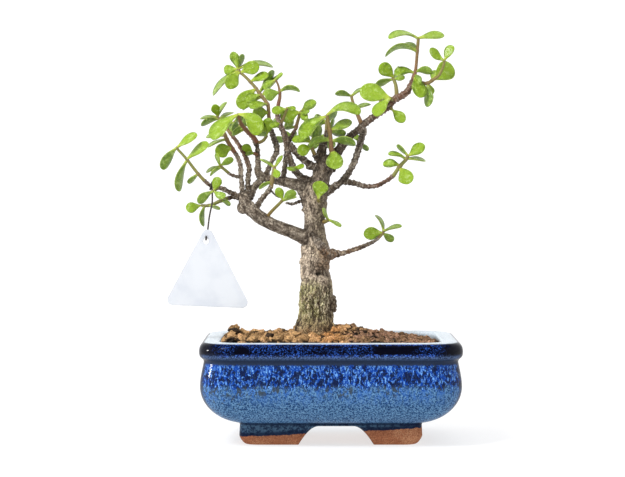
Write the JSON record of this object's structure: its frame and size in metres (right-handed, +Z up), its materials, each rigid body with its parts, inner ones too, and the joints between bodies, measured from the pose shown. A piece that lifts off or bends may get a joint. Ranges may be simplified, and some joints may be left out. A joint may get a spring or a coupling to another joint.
{
  "type": "potted dwarf jade bonsai",
  "caption": "Dwarf jade bonsai with fleshy round leaves on forked limbs above a thick tapering trunk, in a rectangular blue-glazed pot on feet, with a blank hang tag on a wire.",
  "frame": {"origin": "under the middle of the whole object, on the surface it stands on", "axes": "+Z up, +Y from the front of the pot to its back, +X to the right seen from the front"},
  "size_m": [0.1736, 0.1102, 0.2407],
  "materials": {
    "glazed_pot": "glossy mottled cobalt and steel-blue glaze over terracotta feet",
    "soil": "matt porous clay granules",
    "screen": "matt moulded mesh",
    "bark": "rough ringed bark, grey-brown, mossy near the foot",
    "leaf": "smooth waxy fleshy leaf",
    "tag": "thin smooth pale translucent sheet",
    "wire": "dark coated wire"
  },
  "bodies": {
    "root": {"pot": "glazed_pot", "soil": "soil", "drain_screen_left": "screen", "drain_screen_right": "screen", "trunk": "bark", "shoot_far_left": "leaf", "shoot_over_tag": "leaf", "shoot_low_left": "leaf", "shoot_left_bud": "leaf", "shoot_left_middle": "leaf", "shoot_left_crown": "leaf", "shoot_left_drooping": "leaf", "shoot_left_inner": "leaf", "shoot_left_stub": "leaf", "shoot_top_left": "leaf", "shoot_top_middle": "leaf", "shoot_middle_upper": "leaf", "shoot_middle_side": "leaf", "shoot_middle_low": "leaf", "shoot_middle_bud": "leaf", "shoot_lower_middle": "leaf", "shoot_heart_left": "leaf", "shoot_heart_tall": "leaf", "shoot_heart_back": "leaf", "shoot_trunk_front": "leaf", "shoot_trunk_bud": "leaf", "shoot_low_right": "leaf", "shoot_right": "leaf", "shoot_top_right": "leaf", "shoot_far_right": "leaf", "shoot_leader_side": "leaf", "shoot_leader_front": "leaf", "shoot_leader_under": "leaf", "shoot_right_inner": "leaf", "shoot_right_bud": "leaf", "shoot_back_top": "leaf", "shoot_back_left": "leaf", "shoot_back_far_left": "leaf", "shoot_back_low": "leaf", "shoot_back_right": "leaf", "hang_tag": "tag", "tag_wire": "wire"}
  },
  "joints": []
}
